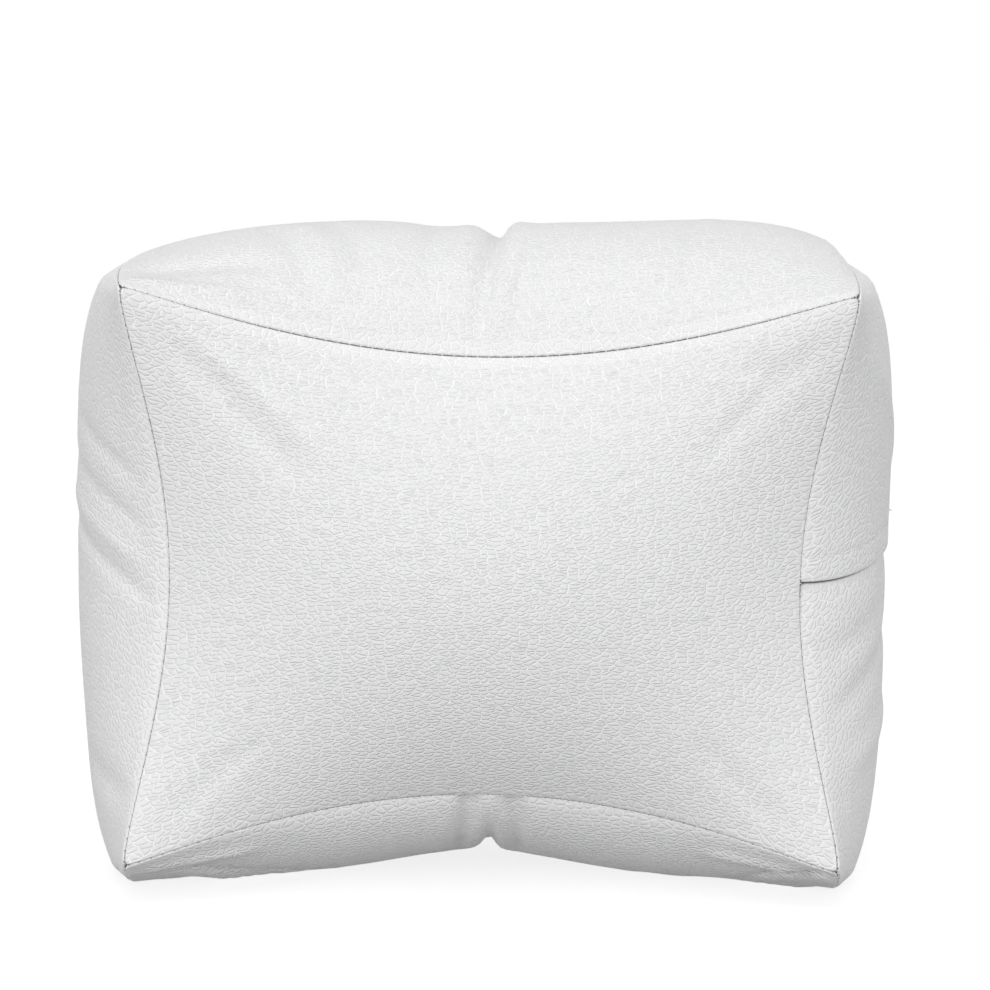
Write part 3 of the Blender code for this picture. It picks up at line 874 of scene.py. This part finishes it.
threads = {
    "front_seam_stitches": ("front_seam_thread", face_loop("front")),
    "back_seam_stitches": ("back_seam_thread", face_loop("back")),
    "corner_stitches_top_left": ("corner_thread_top_left", seam_stitches("top", 0, -1)),
    "corner_stitches_top_right": ("corner_thread_top_right", seam_stitches("top", 0, 1)),
    "corner_stitches_bottom_left": ("corner_thread_bottom_left", seam_stitches("bottom", 0, -1)),
    "corner_stitches_bottom_right": ("corner_thread_bottom_right", seam_stitches("bottom", 0, 1)),
    "lap_topstitches": ("lap_topstitch", topstitch_row() + [thread_end()]),
}
stitched = {name: stitch_object(name, spots) for name, (node, spots) in threads.items()}
print("stitches:", {name: len(spots) for name, (node, spots) in threads.items()})

# %% [markdown]
# ## Colours and nodes
# Colours are written as the hex values a picture editor shows, and one function turns them to the
# linear values that the shaders work in. Another adds a node, and short ones for sums, ramps and
# blends hand on the new node's output.

# %% Material helpers
VECTORS = "ShaderNodeVectorMath"
SMOOTH = "SMOOTHSTEP"


def linear(hex_colour):
    """Linear RGBA from an sRGB hex value such as #e8e8ea."""
    values = [int(hex_colour[k:k + 2], 16) / 255 for k in (1, 3, 5)]
    return tuple(v / 12.92 if v <= 0.04045 else ((v + 0.055) / 1.055) ** 2.4 for v in values) + (1.0,)


def add(tree, kind, entries=None):
    """A new node. Each entry sets a property or an input, or joins an input to a node's output."""
    made = tree.nodes.new(kind)
    for name, value in (entries or {}).items():
        if isinstance(value, bpy.types.NodeSocket):
            tree.links.new(value, made.inputs[name])
        elif isinstance(name, str) and hasattr(made, name):
            setattr(made, name, value)
        else:
            made.inputs[name].default_value = value
    return made


def maths(tree, operation, *values, kind="ShaderNodeMath"):
    """The output of a sum. Each value is a number, a vector or a node's output."""
    made = add(tree, kind, {"operation": operation} | dict(enumerate(values)))
    return made.outputs["Value" if operation == "LENGTH" else 0]


def ramp(tree, value, reach=(0.0, 1.0), ends=(0.0, 1.0), easing="LINEAR"):
    """The output of a node that goes from one end to the other while a value crosses its reach."""
    made = add(tree, "ShaderNodeMapRange", {
        "interpolation_type": easing, "From Min": reach[0], "From Max": reach[1],
        "To Min": ends[0], "To Max": ends[1], "Value": value,
    })
    return made.outputs[0]


def blend(tree, share, first, second):
    """The output of a node that goes from the first colour to the second as the share grows."""
    return add(tree, "ShaderNodeMix", {"data_type": "RGBA", 0: share, 6: first, 7: second}).outputs[2]


def new_material(name):
    """An empty node material and its tree."""
    material = bpy.data.materials.new(name)
    material.use_nodes = True
    material.node_tree.nodes.clear()
    return material, material.node_tree


# %% [markdown]
# ## White leatherette with a litchi grain
# The skin is polyurethane leatherette: a soft plastic film on knitted cloth, embossed by a roller with
# a litchi grain. That gives flat pebbles, about 3 mm long and under 2 mm wide, between thin creases.
# The pebbles come from a Voronoi pattern on the cut panel's own map, bent by noise so that no crease
# is straight, and a second, finer one breaks the large pebbles up. The creases are painted a lighter
# white, a painted highlight. The film has a satin sheen. Each stitch leaves a small hole beside its
# seam, drawn as a spot of painted shade, and painted shade darkens the skin down in the slit.

# %% Leatherette material
PEBBLE_LONG = 3.2 * MM
PEBBLE_WIDE = 1.65 * MM
PORE = 0.45 * MM
GRAIN_DEPTH = 0.2 * MM
DRIFT_SIZE = 7 * MM
DRIFT = 1.8 * MM
# shares of a pebble's width and height
SHOULDER = 0.25
SMALL_SCALE = 2.1
SMALL_SHOULDER = 0.16
SMALL_HEIGHT = 0.2
PORE_HEIGHT = 0.12
# painted highlight: the creases are painted lighter out to this distance
CREASE = (0.01, 0.07)
# distances from a seam or a hole over which one look gives way to the next
FLATTENED = (0.5 * MM, 3.5 * MM)
FLATTENED_HEIGHT = 0.3
HOLE_FROM_SEAM = 0.55 * MM
HOLE_EDGE = (0.12 * MM, 0.36 * MM)
# painted shade in the seam slits fades out over these distances from the seam
SLIT_SHADE_EDGE = (0.18 * MM, 0.4 * MM)
# the creases' lighter white is a painted highlight; the pebbles' white is the film's own colour
CREASE_PAINTED_HIGHLIGHT = "#fbfbfb"
PEBBLE_WHITE = "#eaeaeb"
# painted shade for the needle holes
HOLE_PAINTED_SHADE = "#6c6766"
# painted shade down in the seam slits
SLIT_PAINTED_SHADE = "#7f7a77"
CREASE_ROUGHNESS = 0.6
PEBBLE_ROUGHNESS = 0.46


def flat_noise(tree, vector, size):
    """Noise of a given size over a flat map."""
    return add(tree, "ShaderNodeTexNoise", {
        "noise_dimensions": "2D", "Scale": 1 / size, "Detail": 2.0, "Vector": vector,
    })


def from_crease(tree, vector, scale):
    """The output of a node that gives the distance from the creases between pebbles."""
    made = add(tree, "ShaderNodeTexVoronoi", {
        "voronoi_dimensions": "2D", "feature": "DISTANCE_TO_EDGE", "Randomness": 1.0,
        "Scale": scale, "Vector": vector,
    })
    return made.outputs["Distance"]


def leatherette():
    """White embossed polyurethane leatherette, satin, with painted highlights in its creases and painted
    shade in its needle holes and seam slits.
    """
    material, tree = new_material("white_litchi_grain_leatherette")
    cut = add(tree, "ShaderNodeUVMap", {"uv_map": "grain"}).outputs["UV"]
    drift = flat_noise(tree, cut, DRIFT_SIZE).outputs["Color"]
    centred = maths(tree, "SUBTRACT", drift, (0.5, 0.5, 0.5), kind=VECTORS)
    bent = maths(tree, "MULTIPLY_ADD", centred, (DRIFT, DRIFT, 0.0), cut, kind=VECTORS)
    sized = maths(tree, "MULTIPLY", bent, (1 / PEBBLE_LONG, 1 / PEBBLE_WIDE, 1.0), kind=VECTORS)
    crease = from_crease(tree, sized, 1.0)
    rounded = ramp(tree, crease, (0.0, SHOULDER), easing=SMOOTH)
    small_crease = from_crease(tree, sized, SMALL_SCALE)
    small_rounded = ramp(tree, small_crease, (0.0, SMALL_SHOULDER), (0.0, SMALL_HEIGHT), SMOOTH)
    pores = flat_noise(tree, cut, PORE).outputs["Fac"]
    pebbles = maths(tree, "ADD", rounded, small_rounded)
    surface = maths(tree, "MULTIPLY_ADD", pores, PORE_HEIGHT, pebbles)
    # the grain is pressed flatter where the film is stretched over a seam or a folded edge
    run = add(tree, "ShaderNodeUVMap", {"uv_map": "seam"})
    parts = add(tree, "ShaderNodeSeparateXYZ", {"Vector": run.outputs["UV"]})
    distance = maths(tree, "ABSOLUTE", parts.outputs["Y"])
    flattened = ramp(tree, distance, FLATTENED, (FLATTENED_HEIGHT, 1.0), SMOOTH)
    relief = maths(tree, "MULTIPLY", surface, flattened)
    grain = add(tree, "ShaderNodeBump", {"Strength": 1.0, "Distance": GRAIN_DEPTH, "Height": relief})
    # needle holes beside the seams, one to a stitch, each a spot of painted shade
    within = maths(tree, "FRACT", maths(tree, "DIVIDE", parts.outputs["X"], STITCH_PITCH))
    across = maths(tree, "MULTIPLY", maths(tree, "SUBTRACT", within, 0.5), STITCH_PITCH)
    beyond = maths(tree, "SUBTRACT", parts.outputs["Y"], HOLE_FROM_SEAM)
    spot = add(tree, "ShaderNodeCombineXYZ", {"X": across, "Y": beyond})
    hole = ramp(tree, maths(tree, "LENGTH", spot.outputs[0], kind=VECTORS), HOLE_EDGE, easing=SMOOTH)
    # painted highlight: the creases are painted lighter than the pebbles
    pale = blend(tree, ramp(tree, crease, CREASE), linear(CREASE_PAINTED_HIGHLIGHT), linear(PEBBLE_WHITE))
    with_hole_shade = blend(tree, hole, linear(HOLE_PAINTED_SHADE), pale)
    # painted shade darkens the skin down in the seam slits
    colour = blend(tree, ramp(tree, distance, SLIT_SHADE_EDGE), linear(SLIT_PAINTED_SHADE), with_hole_shade)
    skin = add(tree, "ShaderNodeBsdfPrincipled", {
        "Base Color": colour, "IOR": 1.5, "Metallic": 0.0, "Normal": grain.outputs[0],
        "Roughness": ramp(tree, rounded, ends=(CREASE_ROUGHNESS, PEBBLE_ROUGHNESS)),
    })
    add(tree, "ShaderNodeOutputMaterial", {"Surface": skin.outputs[0]})
    return material


white_leatherette = leatherette()
cover.data.materials.append(white_leatherette)
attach(cover, "cushion")
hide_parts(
    "front_panel", "back_panel", "top_panel", "bottom_panel", "left_panel",
    "right_upper_panel", "right_lower_panel",
)
print("cover material:", white_leatherette.name, "with", len(white_leatherette.node_tree.nodes), "nodes")

# %% [markdown]
# ## Polyester thread, fibre, woven tape, nylon and zinc
# The other finishes are small: spun polyester thread with a fine twist, white hollow-fibre filling,
# tape woven from polyester, coils of nylon wire and a slider cast in zinc and painted white. The zip
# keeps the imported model's own pieces, which only get these finishes.

# %% Other materials
TWIST = 0.25 * MM
FIBRE = 1.2 * MM
YARN = 0.4 * MM
CAST_SKIN = 0.5 * MM


def plain_finish(name, hex_colour, roughness, pattern, size, depth, ior=1.5):
    """A dielectric finish with a bump of one pattern on Object coordinates."""
    material, tree = new_material(name)
    place = add(tree, "ShaderNodeTexCoord")
    figure = add(tree, pattern, {"Scale": 1 / size, "Vector": place.outputs["Object"]})
    relief = add(tree, "ShaderNodeBump", {"Strength": 0.5, "Distance": depth, "Height": figure.outputs[0]})
    surface = add(tree, "ShaderNodeBsdfPrincipled", {
        "Base Color": linear(hex_colour), "Roughness": roughness, "IOR": ior, "Normal": relief.outputs[0],
    })
    add(tree, "ShaderNodeOutputMaterial", {"Surface": surface.outputs[0]})
    return material


thread_finish = plain_finish("spun_polyester_thread", "#e6e4e0", 0.8, "ShaderNodeTexNoise", TWIST, 0.05 * MM)
fibre_finish = plain_finish("hollow_fibre_filling", "#f0f0ee", 0.9, "ShaderNodeTexNoise", FIBRE, 0.6 * MM)
tape_finish = plain_finish("woven_polyester_tape", "#e8e8e6", 0.85, "ShaderNodeTexWave", YARN, 0.1 * MM)
coil_finish = plain_finish("nylon_zip_coil", "#e4e4e2", 0.45, "ShaderNodeTexWave", YARN, 0.3 * MM, ior=1.53)
zinc_finish = plain_finish("painted_cast_zinc", "#e2e2e0", 0.35, "ShaderNodeTexNoise", CAST_SKIN, 0.02 * MM)

for name, (node, spots) in threads.items():
    stitches = stitched[name]
    stitches.data.materials.append(thread_finish)
    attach(stitches, "cushion")
    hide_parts(node)

CARRIED = {
    "zip_tape_upper": tape_finish, "zip_tape_lower": tape_finish,
    "zip_coil_upper": coil_finish, "zip_coil_lower": coil_finish, "zip_stop_front": zinc_finish,
    "zip_stop_back": zinc_finish, "zip_slider": zinc_finish,
}
for node, finish in CARRIED.items():
    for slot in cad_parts[node].material_slots:
        slot.material = finish
print("carried over with a new finish:", sorted(CARRIED))

# %% [markdown]
# ## The fibre inside
# The filling is out of sight. It is the stuffed skin drawn in by a few millimetres, and by some more
# behind the zip, so that the slider has room to run.

# %% Make the filling
FILLING_INSET = 4 * MM
ZIP_CLEARANCE = 5 * MM
ZIP_PLACE = 0.05
ZIP_SPREAD = 0.16
ZIP_SIDE = 0.9


def make_filling():
    """The fibre as one soft body just inside the skin, held back behind the zip."""
    cage = grid_cube(CELLS)
    for vert, spot in zip(cage.verts, coarse_skin):
        vert.co = spot
    smooth_outward(cage)
    cage.normal_update()
    for vert, place in zip(cage.verts, coarse_cube):
        behind_zip = bump_at(place[2], ZIP_PLACE, ZIP_SPREAD) if place[0] > ZIP_SIDE else 0.0
        vert.co -= vert.normal * (FILLING_INSET + ZIP_CLEARANCE * behind_zip)
    filling = object_from(cage, "fibre_filling")
    filling.data.materials.append(fibre_finish)
    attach(filling, "cushion")
    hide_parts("filling")
    return filling


filling = make_filling()
print("filling size in mm:", [round(v / MM, 1) for v in filling.dimensions])

# %% [markdown]
# ## Floor and light
# The photograph was taken in soft light from above and cut out on white. The floor is pale and keeps
# the cushion's shadow. The camera sees floor and world as white, while the light that reaches the
# cushion from below comes from a greyer floor, so that its lower band falls off into shade. A softbox
# hangs overhead, a low wide strip of light lifts the lower half of the front, and two weak lamps stand
# at the sides.

# %% Floor
FLOOR_HALF = 4.0
FLOOR_SEEN = "#9a9a9a"
FLOOR_GLOW = 0.8
FLOOR_LIT = "#787878"
WHITE = (1.0, 1.0, 1.0, 1.0)


def seen_directly(tree):
    """1 for the camera's own rays and for those that a glossy or clear surface passes on, else 0."""
    path = add(tree, "ShaderNodeLightPath")
    seen = maths(tree, "MAXIMUM", path.outputs["Is Camera Ray"], path.outputs["Is Glossy Ray"])
    return maths(tree, "MAXIMUM", seen, path.outputs["Is Transmission Ray"])


def make_floor():
    """A wide pale floor that keeps the shadow."""
    made = bmesh.new()
    bmesh.ops.create_grid(made, x_segments=1, y_segments=1, size=FLOOR_HALF)
    floor = object_from(made, "studio_floor")
    material, tree = new_material("pale_studio_floor")
    matt = add(tree, "ShaderNodeBsdfDiffuse", {"Color": linear(FLOOR_SEEN)})
    white = add(tree, "ShaderNodeEmission", {"Color": WHITE, "Strength": FLOOR_GLOW})
    bright = add(tree, "ShaderNodeAddShader", {0: matt.outputs[0], 1: white.outputs[0]})
    dim = add(tree, "ShaderNodeBsdfDiffuse", {"Color": linear(FLOOR_LIT)})
    direct = seen_directly(tree)
    both = add(tree, "ShaderNodeMixShader", {0: direct, 1: dim.outputs[0], 2: bright.outputs[0]})
    add(tree, "ShaderNodeOutputMaterial", {"Surface": both.outputs[0]})
    floor.data.materials.append(material)
    return floor


studio_floor = make_floor()
print("floor:", round(studio_floor.dimensions.x, 1), "m wide")

# %% World and lamps
WORLD_LIGHT = 0.63
# place in metres, width, height and power in watts
LAMPS = {
    "overhead_softbox": ((-0.10, -0.45, 1.5), 1.0, 1.0, 3.9),
    "front_left_fill": ((-0.35, -1.8, 0.24), 2.8, 0.4, 18.6),
    "right_fill": ((1.5, -0.9, 0.5), 1.0, 0.7, 2.8),
    "left_fill": ((-1.5, -0.9, 0.5), 1.0, 0.7, 1.5),
}


def make_world():
    """White to the camera, soft grey light for everything else."""
    world = bpy.data.worlds.new("soft_studio")
    world.use_nodes = True
    tree = world.node_tree
    tree.nodes.clear()
    strength = ramp(tree, seen_directly(tree), ends=(WORLD_LIGHT, 1.0))
    sky = add(tree, "ShaderNodeBackground", {"Color": WHITE, "Strength": strength})
    add(tree, "ShaderNodeOutputWorld", {"Surface": sky.outputs[0]})
    scene.world = world


def soft_lamp(name, spot, width, height, power):
    """A rectangular area lamp that looks at the cushion."""
    lamp = bpy.data.lights.new(name, "AREA")
    lamp.shape = "RECTANGLE"
    lamp.size = width
    lamp.size_y = height
    lamp.energy = power
    holder = bpy.data.objects.new(name, lamp)
    way = Vector(spot) - CENTRE
    holder.matrix_world = Matrix.Translation(spot) @ way.to_track_quat("Z", "Y").to_matrix().to_4x4()
    scene.collection.objects.link(holder)


make_world()
scene.view_settings.view_transform = "Standard"
for name, (spot, width, height, power) in LAMPS.items():
    soft_lamp(name, spot, width, height, power)
